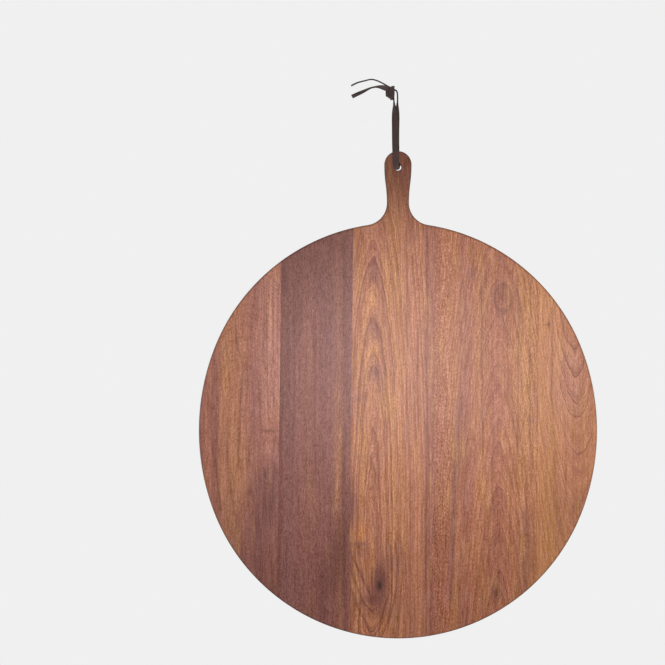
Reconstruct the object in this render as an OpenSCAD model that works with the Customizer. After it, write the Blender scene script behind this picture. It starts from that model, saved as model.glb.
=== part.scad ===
// Serving board with a handle, hung by a leather thong.
// Five walnut staves are glued edge to edge. The front is smooth, and the back has a juice groove.
// The board hangs upright: X runs to the right, Y runs from front to back and Z runs up.
// The origin is the point under the top of the thong's loop, where a hook or nail carries it.

/* [Staves] */
// Width of the first stave from the left, at the middle of the body
stave_1_w = 100.5; // [70:0.5:130]
// Width of the second stave
stave_2_w = 89.5; // [65:0.5:115]
// Width of the third stave, which runs on into the handle
stave_3_w = 101.5; // [90:0.5:130]
// Width of the fourth stave
stave_4_w = 132.5; // [100:0.5:160]
// Width of the fifth stave, at the middle of the body
stave_5_w = 74; // [50:0.5:100]
// Lean of the glue lines to the right, in degrees
seam_lean = 0.7; // [0:0.1:2]
// Thickness of the staves
board_t = 18; // [15:0.5:25]

/* [Outline] */
// How much taller than wide the body is
oval_rise = 22; // [8:1:60]
// Radius taken off the body's ends, as a share of the rise, where less gives fuller shoulders
end_draw = 0.114; // [0.08:0.002:0.4]
// Radius of the eased edges all round
arris_r = 2.5; // [1:0.25:4]

/* [Handle] */
// Reach of the handle from the hole's centre down to the top of the body
handle_reach = 69.5; // [55:0.5:110]
// Radius of the round head
head_r = 17; // [14:0.5:22]
// Height of the head's centre above the hole's centre
head_rise = 3; // [0:0.5:5]
// How far each side of the neck is drawn in from the head
neck_inset = 3.25; // [1:0.25:5]
// Radius of the fillets where the neck meets the body
fillet_r = 28; // [20:1:45]
// Diameter of the hanging hole
hole_d = 8.8; // [8:0.1:12]
// Width of the bevel round each end of the hole
hole_bevel = 0.6; // [0.2:0.1:1.5]

/* [Juice groove] */
// Width of the flat rim outside the groove
rim_w = 11; // [6:0.5:20]
// Width of the groove
groove_w = 9.5; // [6:0.5:14]
// Depth of the groove
groove_depth = 4.5; // [2:0.25:6]

/* [Thong] */
// Width of the flat lace
lace_w = 7.6; // [5:0.1:9]
// Thickness of the lace
lace_t = 1.8; // [1.2:0.1:2.5]
// Width of the lace where it is folded lengthwise inside the hole
folded_w = 4.8; // [4:0.1:5.5]
// Thickness of the lace where it is folded lengthwise inside the hole
folded_t = 3.8; // [3:0.1:4.2]
// Drop from the hanging point to the hole's centre
loop_drop = 95; // [94:0.5:96]
// How far the board's centre line lies to the right of the hanging point
plumb_offset = 2.5; // [2:0.25:3]
// Radius of the rounded corners of the knot
knot_corner_r = 1.9; // [1.5:0.1:2.5]

/* [Hidden] */
$fn = 64;

// How far a cutter or a dividing strip runs past what it cuts
overrun = 5;

// How far the blank stands out past the board's outline
blank_margin = overrun / 2;

// Widths of the staves in order, and the body that they make together
stave_widths = [stave_1_w, stave_2_w, stave_3_w, stave_4_w, stave_5_w];
stave_colours = ["#9c6b54", "#8a6259", "#b07f62", "#a8775d", "#b58463"];
body_w = width_before(len(stave_widths));
body_h = body_w + oval_rise;

// The body is a four-centre oval. These are seen from the hole's centre, X to the right and Y up.
body_y = -handle_reach - body_h / 2;
end_inset = oval_rise * end_draw;
end_r = body_w / 2 - end_inset;
end_rise = body_h / 2 - end_r;
flank_shift = (pow(end_rise, 2) - pow(end_inset, 2)) / (2 * end_inset);
flank_r = body_w / 2 + flank_shift;
oval_turn = atan2(end_rise, flank_shift);

// Centres of the arcs of the handle's sides
neck_r = head_r - neck_inset;
fillet_x = neck_r + fillet_r;
end_y = body_y + end_rise;
fillet_y = end_y + sqrt(pow(end_r + fillet_r, 2) - pow(fillet_x, 2));
fillet_turn = atan2(fillet_y - end_y, fillet_x);
side_drop = head_rise - fillet_y;
side_r = (pow(neck_inset, 2) + pow(side_drop, 2)) / (4 * neck_inset);
side_turn = asin(side_drop / (2 * side_r));

// The groove's round bottom, as a circle whose centre stands outside the back face
groove_r = (pow(groove_w / 2, 2) + pow(groove_depth, 2)) / (2 * groove_depth);
groove_lift = groove_r - groove_depth;
groove_inset = rim_w + groove_w / 2;

// Steps that the curves are drawn in: degrees along the oval, the head and fillets, and the long
// curves of the handle's sides, then counts across an eased edge and across the groove
oval_step = 3.5;
handle_step = 7.5;
side_step = 2.7;
arris_steps = 2;
groove_steps = 6;

// How the lace's section is rounded, as shares of its thickness
lace_side_share = 0.25;
lace_shoulder_share = 0.35;

// Route of the loop, from the knot down the front of the board, through the hole and up behind it.
// Each point is X, Y and Z, then the lace's turn about the vertical in degrees, where 90 shows
// its edge to the front and 180 its face, then how far it is folded lengthwise, from 0 to 1.
loop_route = [
    [-2.6, 0, -9, 90, 0],
    [-2.5, -0.2, -13, 92, 0],
    [-2.3, -1.0, -17, 102, 0],
    [-2.1, -2.0, -21, 116, 0],
    [-1.9, -3.0, -26, 133, 0],
    [-1.6, -4.0, -32, 151, 0],
    [-1.4, -5.0, -39, 166, 0],
    [-1.3, -6.4, -50, 176, 0],
    [-1.2, -7.8, -61, 180, 0],
    [-1.0, -9.2, -71, 180, 0],
    [-0.8, -10.2, -78, 180, 0],
    [-0.5, -10.3, -83, 180, 0],
    [0.2, -10.5, -87.5, 180, 0.2],
    [1.1, -10.8, -90.6, 180, 0.45],
    [2.0, -10.4, -92.7, 180, 0.7],
    [2.4, -9.2, -93.7, 180, 0.9],
    [2.5, -7, -93.8, 180, 1],
    [2.5, 0, -93.7, 180, 1],
    [2.5, 7, -93.8, 180, 1],
    [2.4, 9.2, -93.7, 180, 0.9],
    [2.2, 10.4, -92.7, 180, 0.7],
    [1.8, 10.8, -90.6, 180, 0.45],
    [1.3, 10.5, -87.5, 180, 0.2],
    [1.0, 10.3, -83, 180, 0],
    [0.8, 10.2, -78, 180, 0],
    [0.7, 9.2, -71, 180, 0],
    [0.6, 7.8, -61, 180, 0],
    [0.6, 6.4, -50, 176, 0],
    [0.8, 5.0, -39, 166, 0],
    [1.1, 4.0, -32, 151, 0],
    [1.4, 3.0, -26, 133, 0],
    [1.7, 2.0, -21, 116, 0],
    [1.9, 1.0, -17, 102, 0],
    [2.1, 0.2, -13, 92, 0],
    [2.1, 0, -8, 90, 0],
    [2.0, 0, -4, 90, 0],
    [1.6, 0, -1.1, 90, 0],
    [0.7, 0, 0.7, 90, 0],
    [-0.8, 0, 1.6, 90, 0],
    [-3.2, 0, 2.6, 90, 0],
];

// Routes of the two tails, from the knot to their ends. Each point is X, Y and Z, then the lace's
// turn about X in degrees, where 0 shows its edge to the front and 90 its face, then the fold.
upper_tail_route = [
    [-6.5, 3.1, 5.0, 0, 0],
    [-9.9, 3.1, 6.6, 0, 0],
    [-14.5, 3, 9.3, 2, 0],
    [-19.8, 2.8, 12.1, 4, 0],
    [-25.4, 2.4, 14.3, 5, 0],
    [-31.1, 2, 15.2, 4, 0],
    [-38.9, 1.5, 13.5, 2, 0],
    [-48.3, 1.2, 10.9, 0, 0],
    [-55.8, 1, 7.2, -4, 0],
];
lower_tail_route = [
    [-9.0, -3.1, 2.6, 66, 0],
    [-12.4, -3.1, 3.7, 60, 0],
    [-16.0, -3, 4.8, 48, 0],
    [-20.5, -2.7, 5.6, 28, 0],
    [-25.4, -2.4, 5.6, 12, 0],
    [-31.4, -2, 4.3, 10, 0],
    [-36.8, -1.6, 1.9, 20, 0],
    [-42.0, -1.3, -0.6, 30, 0],
    [-48.3, -1.1, -3.4, 36, 0],
    [-55.0, -1, -6.6, 38, 0],
];

// Corners of the knot: X and Z of each, how far it lies before and behind the loop's plane
knot_corners = [
    [-3.2, 5.6, 4.2],
    [-10.6, 2.6, 4.2],
    [-10.9, -5.2, 4.6],
    [-3.6, -10.2, 3.4],
    [-3.2, -2.5, 4.8],
];
knot_fn = 24;

// Width of the first count staves together
function width_before(count) = count == 0 ? 0 : width_before(count - 1) + stave_widths[count - 1];

// Points along an arc from one angle up to the other, which is left for the next arc to start with
function arc(centre, r, from, to, step) =
    let (count = ceil(abs(to - from) / step))
    [
        for (i = [0:count - 1])
            let (turn = from + (to - from) * i / count)
            centre + r * [cos(turn), sin(turn)]
    ];

// Right side of the body's oval drawn in by inset, from the bottom's middle up to an angle
function body_side(inset, last_turn) = concat(
    arc([0, body_y - end_rise], end_r - inset, -90, -oval_turn, oval_step),
    arc([-flank_shift, body_y], flank_r - inset, -oval_turn, oval_turn, oval_step),
    arc([0, end_y], end_r - inset, oval_turn, last_turn, oval_step)
);

// Right side of the handle drawn in by inset, from the body up to the head
function handle_side(inset) = concat(
    arc([fillet_x, fillet_y], fillet_r + inset, 180 + fillet_turn, 180, handle_step),
    arc([neck_r + side_r, fillet_y], side_r + inset, 180, 180 - side_turn, side_step),
    arc([head_r - side_r, head_rise], side_r - inset, -side_turn, 0, side_step),
    arc([0, head_rise], head_r - inset, 0, 90, handle_step)
);

// A right side that is mirrored to close the outline, where top is the middle point between the two
function both_sides(side, top) = concat(
    side, [top], [for (i = [len(side) - 1:-1:1]) [-side[i].x, side[i].y]]
);

function board_outline(inset) = both_sides(
    concat(body_side(inset, fillet_turn), handle_side(inset)), [0, head_rise + head_r - inset]
);
function body_outline(inset) = both_sides(
    body_side(inset, 90), [0, end_y + end_r - inset]
);

// Inset and height of a point on the eased edge, where side is 1 on the smooth face and -1 on the
// grooved one, and turn is 0 on the board's side and 90 on the face
function eased(turn, side) =
    [arris_r * (1 - cos(turn)), side * (board_t / 2 - arris_r * (1 - sin(turn)))];

// Where the outermost facet of the eased edge ends when it runs on past the face
function run_out(side) = 2 * eased(90, side) - eased(90 - 90 / arris_steps, side);

// Inset and height of each outline round the cutter that shapes the edge: up the board's side,
// where it leaves the eased edges, and back down outside the blank
function edge_stack() = concat(
    [run_out(-1)],
    [for (i = [arris_steps - 1:-1:0]) eased(90 * i / arris_steps, -1)],
    [for (i = [0:arris_steps - 1]) eased(90 * i / arris_steps, 1)],
    [run_out(1)],
    [for (side = [1, -1]) [-overrun, side * (board_t / 2 + overrun)]]
);

// Inset and height of each outline round the groove's cutter, from its inner side over to its outer
function groove_stack() = concat(
    [
        for (i = [groove_steps:-1:0])
            let (turn = 180 * i / groove_steps)
            [groove_inset - groove_r * cos(turn), groove_r * sin(turn) - groove_lift - board_t / 2]
    ],
    [for (side = [-1, 1]) [groove_inset + side * groove_r, -board_t / 2 - overrun]]
);

// A closed solid skinned over rings that have the same count of points. The last ring is joined
// to the first, or else the first and the last are its ends.
module skin(rings, joined) {
    sides = len(rings[0]);
    last = (len(rings) - 1) * sides;
    points = [for (ring = rings) each ring];
    walls = [
        for (i = [0:len(rings) - (joined ? 1 : 2)], k = [0:sides - 1])
            let (
                a = i * sides + k,
                b = i * sides + (k + 1) % sides,
                c = (b + sides) % len(points),
                d = (a + sides) % len(points)
            )
            each [[a, b, c], [a, c, d]]
    ];
    near_end = [for (k = [sides - 1:-1:0]) k];
    far_end = [for (k = [0:sides - 1]) last + k];
    polyhedron(points, joined ? walls : concat(walls, [near_end, far_end]));
}

// The plain blank that the board is shaped from
module blank() {
    linear_extrude(board_t, center = true) polygon(board_outline(-blank_margin));
}

// Shapes the outline and the eased edges
module edge_cutter() {
    skin([for (step = edge_stack()) [for (p = board_outline(step[0])) [p.x, p.y, step[1]]]], true);
}

// The groove runs round the body at one distance from its edge
module groove() {
    skin([for (step = groove_stack()) [for (p = body_outline(step[0])) [p.x, p.y, step[1]]]], true);
}

// The hanging hole, with a small bevel at each face
module hanging_hole() {
    cylinder(h = board_t + 2 * overrun, r = hole_d / 2, center = true);
    for (face = [0, 180])
        rotate([face, 0, 0]) translate([0, 0, board_t / 2 - hole_bevel])
            cylinder(h = 2 * hole_bevel, r1 = hole_d / 2, r2 = hole_d / 2 + 2 * hole_bevel);
}

// X of a glue line at a height, number counted from the left edge of the body
function seam_x(number, y) =
    number == 0 ? -body_w / 2 - body_h
    : number == len(stave_widths) ? body_w / 2 + body_h
    : width_before(number) - body_w / 2 + (y - body_y) * tan(seam_lean);

// Strip between two glue lines, as tall as the board and its handle
module stave_strip(number) {
    low = body_y - body_h / 2 - overrun;
    high = head_rise + head_r + overrun;
    linear_extrude(board_t + 2 * overrun, center = true)
        polygon([
            [seam_x(number - 1, low), low],
            [seam_x(number, low), low],
            [seam_x(number, high), high],
            [seam_x(number - 1, high), high],
        ]);
}

// One stave, cut from the blank lying with its smooth face up and the hole's centre at zero, then
// stood upright at its place under the hanging point
module stave(number) {
    color(stave_colours[number - 1])
        translate([plumb_offset, 0, -loop_drop]) rotate([90, 0, 0])
            difference() {
                intersection() {
                    blank();
                    stave_strip(number);
                }
                edge_cutter();
                groove();
                hanging_hole();
            }
}

function unit(v) = v / norm(v);
function place(row) = [row[0], row[1], row[2]];

// Direction of a route at point i, from the point before to the point after
function heading(route, i) =
    unit(place(route[min(i + 1, len(route) - 1)]) - place(route[max(i - 1, 0)]));

// Direction of the lace's width at point i, square to the route
function across(route, i, about_x) =
    let (
        turn = route[i][3],
        wanted = about_x ? [0, cos(turn), sin(turn)] : [cos(turn), sin(turn), 0],
        along = heading(route, i)
    )
    unit(wanted - (wanted * along) * along);

// Outline of the lace's section: flat faces and rounded sides
function lace_outline(w, t) =
    let (side = lace_side_share * t, shoulder = w / 2 - lace_shoulder_share * t)
    [
        [w / 2, -side], [w / 2, side], [shoulder, t / 2], [-shoulder, t / 2],
        [-w / 2, side], [-w / 2, -side], [-shoulder, -t / 2], [shoulder, -t / 2],
    ];

// The section's points round point i of a route
function lace_ring(route, i, about_x) =
    let (
        fold = route[i][4],
        width_dir = across(route, i, about_x),
        face_dir = cross(width_dir, heading(route, i)),
        outline = lace_outline(lace_w + fold * (folded_w - lace_w), lace_t + fold * (folded_t - lace_t))
    )
    [for (p = outline) place(route[i]) + p[0] * width_dir + p[1] * face_dir];

// A length of lace along a route, as one closed solid
module lace(route, about_x) {
    skin([for (i = [0:len(route) - 1]) lace_ring(route, i, about_x)], false);
}

// The free loop, from the knot through the hole and back over the hook's place into the knot
module thong_loop() {
    color("#33231f") lace(loop_route, false);
}

// The drawn-up knot as one rounded block
module thong_knot() {
    color("#2c1d1b")
        hull()
            for (corner = knot_corners, side = [-1, 1])
                translate([corner[0], side * (corner[2] - knot_corner_r), corner[1]])
                    sphere(knot_corner_r, $fn = knot_fn);
}

// The two ends of the lace, which stick out of the knot to the left
module thong_upper_tail() {
    color("#33231f") lace(upper_tail_route, true);
}

module thong_lower_tail() {
    color("#33231f") lace(lower_tail_route, true);
}

stave(1);  // stave_1
stave(2);  // stave_2
stave(3);  // stave_3
stave(4);  // stave_4
stave(5);  // stave_5
thong_loop();
thong_knot();
thong_upper_tail();
thong_lower_tail();
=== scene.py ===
"""Dresses a walnut serving board that hangs by a leather thong.

The board is five walnut staves glued edge to edge. It is smooth in front and has a juice groove behind.
Lengths are in millimetres unless a name says otherwise, seen from the hanging point, which is the frame's
origin: X runs to the right, Y from front to back and Z up.
"""

from __future__ import annotations

import logging
import math
from dataclasses import dataclass, field
from enum import Enum
from typing import Callable, Optional, Sequence, Union

import bmesh
import bpy
import numpy as np
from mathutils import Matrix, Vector
from mathutils.geometry import delaunay_2d_cdt

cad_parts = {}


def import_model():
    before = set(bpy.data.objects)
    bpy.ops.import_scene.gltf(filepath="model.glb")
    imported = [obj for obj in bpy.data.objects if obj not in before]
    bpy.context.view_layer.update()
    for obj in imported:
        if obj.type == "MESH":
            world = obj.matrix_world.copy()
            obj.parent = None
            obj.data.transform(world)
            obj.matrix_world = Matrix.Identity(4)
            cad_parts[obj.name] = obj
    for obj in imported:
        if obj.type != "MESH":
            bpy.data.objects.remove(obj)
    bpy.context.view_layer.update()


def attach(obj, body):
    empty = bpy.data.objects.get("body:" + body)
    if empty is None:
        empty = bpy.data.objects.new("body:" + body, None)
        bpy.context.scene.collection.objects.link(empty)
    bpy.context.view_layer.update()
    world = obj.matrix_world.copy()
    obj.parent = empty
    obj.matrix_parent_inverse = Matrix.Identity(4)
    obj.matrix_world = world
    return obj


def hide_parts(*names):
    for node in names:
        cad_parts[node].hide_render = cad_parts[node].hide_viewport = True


METRES = 0.001
LOG = logging.getLogger("serving_board")
LUMINANCE = (0.2126, 0.7152, 0.0722)

# Points closer than this are one point, in metres for a mesh and in millimetres for a flat's corners
SAME_PLACE = 1e-7
SAME_CORNER = 1e-9

Colour = tuple[float, float, float]
Point = tuple[float, float, float]
Span = tuple[float, float]
Level = Union["Value", float]
Pigment = Union["Value", Colour]


def srgb(*channels: int) -> Colour:
    """Turn a display colour into linear light, by the sRGB curve.

    Args:
        channels: Red, green and blue on the display, from 0 to 255.

    Returns:
        The same colour in linear light.
    """
    shares = (channel / 255 for channel in channels)
    return tuple(s / 12.92 if s <= 0.04045 else ((s + 0.055) / 1.055) ** 2.4 for s in shares)


def math_method(operation: str, turned: bool = False) -> Callable[..., Value]:
    """Make a method that adds one Math node on a value and others.

    Args:
        operation: The node's operation.
        turned: Whether the value itself comes last.

    Returns:
        The method.
    """
    def method(self: Value, *others: Level) -> Value:
        """Add the Math node."""
        return self.nodes.maths(operation, *((*others, self) if turned else (self, *others)))

    return method


class Value:
    """A number or colour that changes over a surface, as the socket that carries it.

    Python's operators on it add Math nodes. What is done with a colour is in Paint.
    """

    __add__ = __radd__ = math_method("ADD")
    __mul__ = __rmul__ = math_method("MULTIPLY")
    __sub__ = math_method("SUBTRACT")
    __rsub__ = math_method("SUBTRACT", turned=True)
    __truediv__ = math_method("DIVIDE")
    __pow__ = math_method("POWER")
    root = math_method("SQRT")
    fraction = math_method("FRACT")
    floor = math_method("FLOOR")
    size = math_method("ABSOLUTE")
    power_of_e = math_method("EXPONENT")

    def __init__(self, nodes: Nodes, socket: bpy.types.NodeSocket) -> None:
        """Remember the nodes that the socket belongs to."""
        self.nodes = nodes
        self.socket = socket

    def squared(self) -> Value:
        """The value times itself."""
        return self * self

    def fade(self) -> Value:
        """E to the minus value, which is 1 at 0 and falls softly from there."""
        return (self * -1.0).power_of_e()

    def between(self, low: float, high: float) -> Value:
        """Rise smoothly from 0 at low to 1 at high."""
        inputs = {"Value": self, "From Min": low, "From Max": high}
        return self.nodes.node("ShaderNodeMapRange", {"interpolation_type": "SMOOTHSTEP"}, inputs)

    def within(self, rise: Span, fall: Span) -> Value:
        """Rise smoothly from 0 to 1 over one span and fall back to 0 over another."""
        return self.between(*rise) * (1.0 - self.between(*fall))


class Paint(Value):
    """A colour that changes over a surface."""

    def _vector(self, operation: str, inputs: dict, output: str = "Vector") -> Paint:
        """Add one Vector Math node on this colour and other inputs."""
        made = self.nodes.node("ShaderNodeVectorMath", {"operation": operation}, {0: self, **inputs}, output)
        return Paint(self.nodes, made.socket)

    def tinted(self, other: Pigment, amount: Level) -> Paint:
        """Mix another colour in by an amount from 0 to 1."""
        return self.nodes.mix(self, other, amount)

    def scaled(self, factor: Level) -> Paint:
        """Make the colour lighter or darker by a factor."""
        return self._vector("SCALE", {"Scale": factor})

    def grained(self, amount: Level, grey_share: float = 0.5) -> Paint:
        """Make the colour lighter or darker by a share of itself, part of it as grey light.

        Args:
            amount: How much lighter, as a share of the colour, or darker where it is below 0.
            grey_share: How much of the change is grey instead of the colour's own hue.

        Returns:
            The changed colour.
        """
        light = self._vector("DOT_PRODUCT", {1: LUMINANCE}, "Value")
        toned = self.scaled(amount * (1.0 - grey_share) + 1.0)
        return toned._vector("ADD", {1: light * amount * grey_share})


class Nodes:
    """The nodes of a material or of the world, under construction."""

    def __init__(self, tree: bpy.types.NodeTree) -> None:
        """Start with no nodes."""
        self.tree = tree
        tree.nodes.clear()

    def put(self, socket: bpy.types.NodeSocket, value: Union[Value, float, Sequence[float]]) -> None:
        """Fill an input socket.

        Args:
            socket: The socket.
            value: What is linked to it, or the plain number, vector or colour that is written on it.
        """
        if isinstance(value, Value):
            self.tree.links.new(value.socket, socket)
        elif isinstance(value, (int, float)):
            socket.default_value = value
        else:
            # A colour of three numbers gets its alpha where the socket has one
            socket.default_value = (*value, 1.0)[:len(socket.default_value)]

    def node(
        self,
        kind: str,
        settings: Optional[dict] = None,
        inputs: Optional[dict] = None,
        output: Union[int, str] = 0,
    ) -> Value:
        """Add a node.

        Args:
            kind: The node's type.
            settings: Its properties. "stops" holds a ramp's stops and "curve" a curve's points.
            inputs: Values or links by the socket's name or number.
            output: Name or number of the socket that is wanted.

        Returns:
            The wanted output.
        """
        node = self.tree.nodes.new(kind)
        for name, value in (settings or {}).items():
            if name == "stops":
                self._set_stops(node.color_ramp, value)
            elif name == "curve":
                self._set_curve(node.mapping, value)
            else:
                setattr(node, name, value)
        for name, value in (inputs or {}).items():
            self.put(node.inputs[name], value)
        return Value(self, node.outputs[output])

    @staticmethod
    def _set_stops(ramp: bpy.types.ColorRamp, stops: Sequence[tuple[float, Colour]]) -> None:
        """Give a ramp its stops.

        Args:
            ramp: A new ramp, which has two.
            stops: Place and colour of each, in rising order.
        """
        while len(ramp.elements) < len(stops):
            ramp.elements.new(1.0)
        for element, (place, colour) in zip(ramp.elements, stops):
            element.position = place
            element.color = (*colour, 1.0)

    @staticmethod
    def _set_curve(mapping: bpy.types.CurveMapping, points: Sequence[tuple[float, float]]) -> None:
        """Give a curve its points.

        Args:
            mapping: A new curve, which has two.
            points: Place and height of each, in rising order.
        """
        curve = mapping.curves[0]
        while len(curve.points) < len(points):
            curve.points.new(1.0, 1.0)
        for point, place in zip(curve.points, points):
            point.location = place
        mapping.update()

    def maths(self, operation: str, *values: Level) -> Value:
        """Add one Math node on values in their order."""
        return self.node("ShaderNodeMath", {"operation": operation}, dict(enumerate(values)))

    def vector(self, x: Level, y: Level, z: Level) -> Value:
        """Join three numbers to a vector."""
        return self.node("ShaderNodeCombineXYZ", None, {"X": x, "Y": y, "Z": z})

    def parts(self, vector: Value) -> tuple[Value, Value, Value]:
        """Take a vector apart."""
        first = self.node("ShaderNodeSeparateXYZ", None, {0: vector})
        x, y, z = first.socket.node.outputs
        return Value(self, x), Value(self, y), Value(self, z)

    def noise(self, x: Level, y: Level, z: Level, detail: float = 2.0) -> Value:
        """Smooth noise round 0, roughly from -0.5 to 0.5, where a step of 1 is one cell."""
        inputs = {"Vector": self.vector(x, y, z), "Scale": 1.0, "Detail": detail}
        return self.node("ShaderNodeTexNoise", None, inputs, "Fac") - 0.5

    def lot(self, whole: Value) -> Value:
        """A number from 0 to 1 drawn anew for each whole number."""
        return self.node("ShaderNodeTexWhiteNoise", {"noise_dimensions": "1D"}, {"W": whole}, "Value")

    def mix(self, first: Pigment, second: Pigment, amount: Level) -> Paint:
        """Mix two colours, where an amount of 1 is the second alone."""
        # A Mix node has sockets for every kind of data, and these are the ones for colours
        mixed = self.node("ShaderNodeMix", {"data_type": "RGBA"}, {0: amount, 6: first, 7: second}, 2)
        return Paint(self, mixed.socket)


class Shader(Nodes):
    """One material under construction, with a Principled shader at its end."""

    def __init__(self, name: str) -> None:
        """Start an empty material."""
        self.material = bpy.data.materials.new(name)
        self.material.use_nodes = True
        super().__init__(self.material.node_tree)
        self.surface = self.tree.nodes.new("ShaderNodeBsdfPrincipled")
        self.end = self.tree.nodes.new("ShaderNodeOutputMaterial").inputs["Surface"]
        self.put(self.end, Value(self, self.surface.outputs["BSDF"]))

    def place(self) -> tuple[Value, Value, Value]:
        """The surface point's X, Y and Z in millimetres."""
        x, y, z = self.parts(self.node("ShaderNodeTexCoord", None, None, "Object"))
        return x / METRES, y / METRES, z / METRES

    def attribute(self, name: str) -> Value:
        """A number stored on the mesh."""
        return self.node("ShaderNodeAttribute", {"attribute_name": name}, None, "Fac")

    def paint(self, colour: Pigment) -> None:
        """Set the surface's colour."""
        self.put(self.surface.inputs["Base Color"], colour)

    def gloss(self, roughness: Level, specular: float) -> None:
        """Set how rough the surface is and how strongly it reflects."""
        self.put(self.surface.inputs["Roughness"], roughness)
        self.put(self.surface.inputs["Specular IOR Level"], specular)

    def relief(self, height: Value, depth_mm: float) -> None:
        """Bump the surface by a height from 0 to 1 that stands for a depth."""
        inputs = {"Height": height, "Distance": depth_mm * METRES, "Strength": 1.0}
        self.put(self.surface.inputs["Normal"], self.node("ShaderNodeBump", None, inputs, "Normal"))

    def glow(self, colour: Colour, amount: Level) -> None:
        """Let a plain colour stand in for the surface.

        Args:
            colour: The colour.
            amount: How much of it, from 0 to 1.
        """
        light = self.node("ShaderNodeEmission", None, {"Color": colour})
        lit = Value(self, self.surface.outputs["BSDF"])
        self.put(self.end, self.node("ShaderNodeMixShader", None, {0: amount, 1: lit, 2: light}))


class Skin:
    """A mesh that grows from grids of points, computed as whole arrays."""

    def __init__(self) -> None:
        """Start with nothing."""
        self.points: list[np.ndarray] = []
        self.faces: list[np.ndarray] = []
        self.marks: list[np.ndarray] = []
        self.count = 0

    def grid(self, points: np.ndarray, mark: Union[float, np.ndarray] = 0.0, ring: bool = True) -> None:
        """Add a surface from a grid of points, where neighbours in the grid share a face.

        Args:
            points: Rows by columns by 3.
            mark: A number kept on the grid's points, or one for each column.
            ring: Whether the last column joins the first.
        """
        rows, columns = points.shape[:2]
        row = np.arange(rows - 1)[:, None]
        column = np.arange(columns if ring else columns - 1)[None, :]
        next_column = (column + 1) % columns
        corners = [
            row * columns + column,
            row * columns + next_column,
            (row + 1) * columns + next_column,
            (row + 1) * columns + column,
        ]
        faces = np.stack(corners, axis=-1).reshape(-1, 4)
        self._add(points.reshape(-1, 3), faces, np.broadcast_to(mark, (rows, columns)).reshape(-1))

    def cap(self, ring: np.ndarray, turned: bool, mark: float = 0.0) -> None:
        """Close a ring of points by a fan round its middle.

        Args:
            ring: The points, N by 3.
            turned: Whether the fan faces the other way.
            mark: A number kept on its points.
        """
        here = np.arange(len(ring))
        there = (here + 1) % len(ring)
        middle = np.full(len(ring), len(ring))
        faces = np.stack([middle, there, here] if turned else [middle, here, there], axis=-1)
        self._add(np.vstack([ring, ring.mean(axis=0)]), faces, mark)

    def flat(self, loops: Sequence[np.ndarray], y: float, facing: float) -> None:
        """Fill the flat between an outline and the holes in it.

        Args:
            loops: The outline's X and Z, then each hole's.
            y: The flat's depth.
            facing: -1 for a flat that faces the front and 1 for one that faces the back.
        """
        edges: list[tuple[int, int]] = []
        start = 0
        for loop in loops:
            here = start + np.arange(len(loop))
            edges += list(zip(here.tolist(), np.roll(here, -1).tolist()))
            start += len(loop)
        corners = np.vstack(loops).tolist()
        verts, _, triangles, *_ = delaunay_2d_cdt(corners, edges, [], 0, SAME_CORNER)
        flat_points = np.array([tuple(v) for v in verts])
        triangle = np.array([tuple(t) for t in triangles])
        middle = flat_points[triangle].mean(axis=1)
        kept = inside(middle, loops[0])
        for hole in loops[1:]:
            kept &= ~inside(middle, hole)
        triangle = triangle[kept]
        a, b, c = (flat_points[triangle[:, i]] for i in range(3))
        area = (b[:, 0] - a[:, 0]) * (c[:, 1] - a[:, 1]) - (b[:, 1] - a[:, 1]) * (c[:, 0] - a[:, 0])
        wrong = area * facing > 0
        triangle[wrong] = triangle[wrong][:, ::-1]
        self._add(at_depth(flat_points, y), triangle, 0.0)

    def _add(self, points: np.ndarray, faces: np.ndarray, mark: Union[float, np.ndarray]) -> None:
        """Keep points and faces.

        Args:
            points: The points, N by 3.
            faces: Each face's corners, counted from the first of these points.
            mark: A number kept on the points, or one for each.
        """
        self.points.append(points)
        self.faces.append(faces + self.count)
        self.marks.append(np.broadcast_to(mark, len(points)))
        self.count += len(points)

    def mesh(self, name: str, mark_name: Optional[str] = None) -> bpy.types.Mesh:
        """Make the mesh, in metres, with its doubles merged.

        Args:
            name: The mesh's name.
            mark_name: Name of the attribute that gets the points' marks.

        Returns:
            The mesh.
        """
        mesh = bpy.data.meshes.new(name)
        points = np.vstack(self.points) * METRES
        faces = [face for block in self.faces for face in block.tolist()]
        mesh.from_pydata(points.tolist(), [], faces)
        if mark_name:
            store(mesh, mark_name, np.concatenate(self.marks))
        work = bmesh.new()
        work.from_mesh(mesh)
        bmesh.ops.remove_doubles(work, verts=work.verts, dist=SAME_PLACE)
        work.to_mesh(mesh)
        work.free()
        return mesh


def at_depth(flat: np.ndarray, y: float) -> np.ndarray:
    """Points that have X and Z alone, set at a depth."""
    return np.insert(flat, 1, y, axis=1)


def store(mesh: bpy.types.Mesh, name: str, marks: np.ndarray) -> None:
    """Keep a number for each of a mesh's points as an attribute."""
    attribute = mesh.attributes.new(name, "FLOAT", "POINT")
    attribute.data.foreach_set("value", marks.astype(np.float32))


def inside(points: np.ndarray, loop: np.ndarray) -> np.ndarray:
    """Tell which points lie inside a closed loop, by the count of edges to their right.

    Args:
        points: The points, N by 2.
        loop: The loop's corners, M by 2.

    Returns:
        True or False for each point.
    """
    x, y = points[:, 0][:, None], points[:, 1][:, None]
    ax, ay = loop[:, 0][None, :], loop[:, 1][None, :]
    bx, by = np.roll(loop[:, 0], -1)[None, :], np.roll(loop[:, 1], -1)[None, :]
    crosses = (ay > y) != (by > y)
    run = np.where(by == ay, 1.0, by - ay)
    at = (bx - ax) * (y - ay) / run + ax
    return ((crosses & (x < at)).sum(axis=1) % 2) == 1


def linked(name: str, data: bpy.types.ID) -> bpy.types.Object:
    """Put a mesh, lamp or camera in the scene."""
    piece = bpy.data.objects.new(name, data)
    bpy.context.scene.collection.objects.link(piece)
    return piece


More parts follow.
